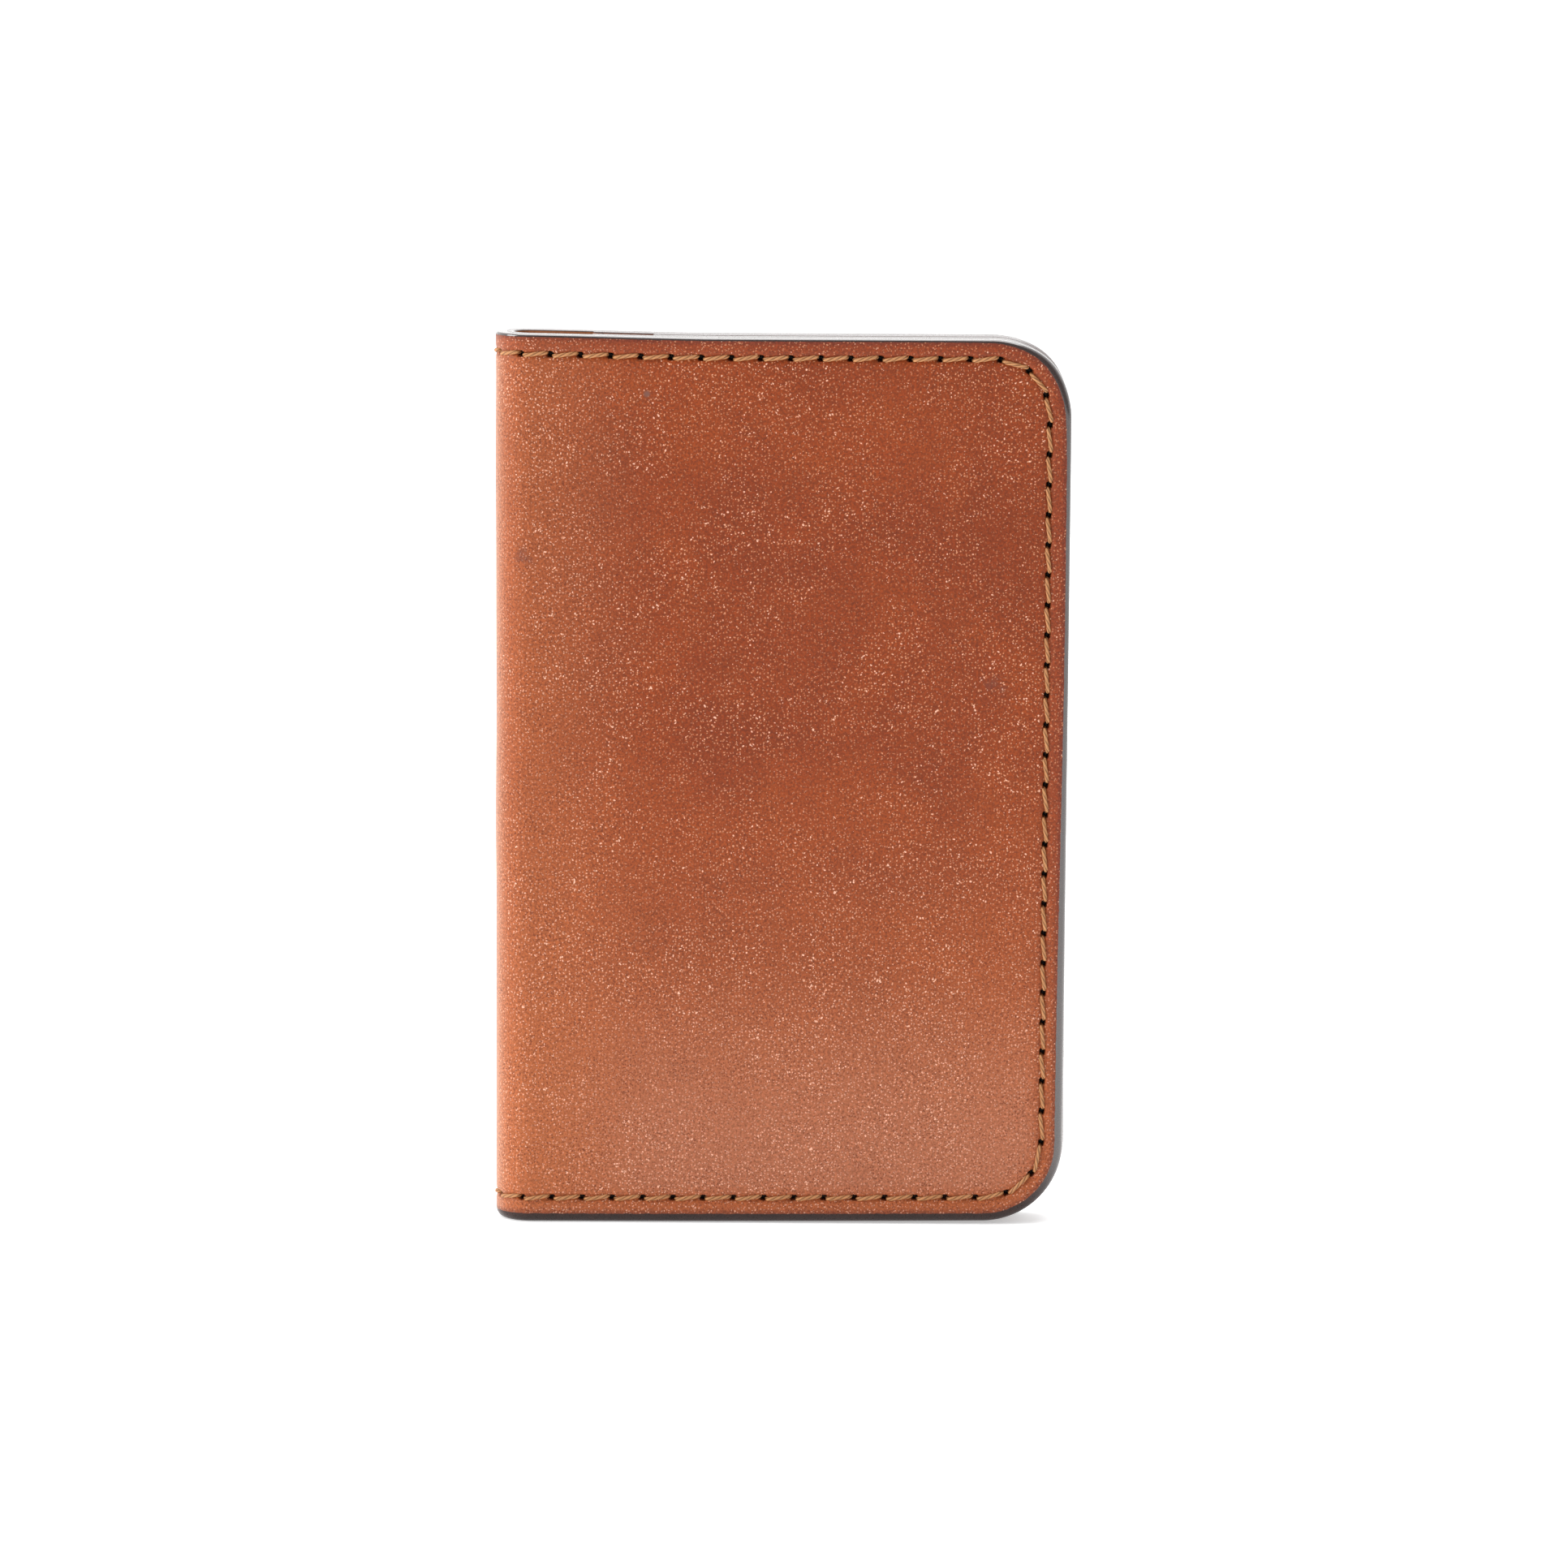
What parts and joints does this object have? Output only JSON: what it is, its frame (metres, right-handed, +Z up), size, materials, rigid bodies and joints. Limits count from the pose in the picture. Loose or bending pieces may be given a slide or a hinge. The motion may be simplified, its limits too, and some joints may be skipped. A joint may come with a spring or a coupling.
{
  "type": "card holder",
  "caption": "Upright bifold leather card holder that opens like a book on a rounded spine, with stepped card pockets inside each cover and a stitched edge.",
  "frame": {"origin": "centre of the closed case's bounding box, at the bottom edge it stands on", "axes": "+X from the spine to the open edge, +Y from the front cover to the back cover, +Z up along the spine"},
  "size_m": [0.0686, 0.0086, 0.107],
  "materials": {
    "outer_leather": "waxed cognac bridle leather with a pale bloom and dark burnished edges",
    "lining_leather": "smooth tan lining leather, satin",
    "pocket_leather": "smooth cognac pocket leather with creased mouths, satin",
    "thread": "twisted waxed ochre thread"
  },
  "bodies": {
    "back_cover": {"back_leather": "outer_leather", "back_lining": "lining_leather", "back_rear_pocket": "pocket_leather", "back_front_pocket": "pocket_leather", "back_stitching": "thread"},
    "spine": {"spine_leather": "outer_leather", "spine_lining": "lining_leather", "spine_stitching": "thread"},
    "front_cover": {"front_leather": "outer_leather", "front_lining": "lining_leather", "front_rear_pocket": "pocket_leather", "front_front_pocket": "pocket_leather", "front_stitching": "thread"}
  },
  "joints": [
    {"name": "back_fold", "type": "hinge", "parent": "back_cover", "child": "spine", "pos_m": [-0.03272, 0.00267, 0], "axis": [0, 0, -1], "range_deg": [0, 90]},
    {"name": "front_fold", "type": "hinge", "parent": "spine", "child": "front_cover", "pos_m": [-0.03272, -0.00267, 0], "axis": [0, 0, -1], "range_deg": [0, 90]}
  ],
  "couplings": [
    {"joint": "front_fold", "follows": "back_fold", "ratio": 1}
  ]
}
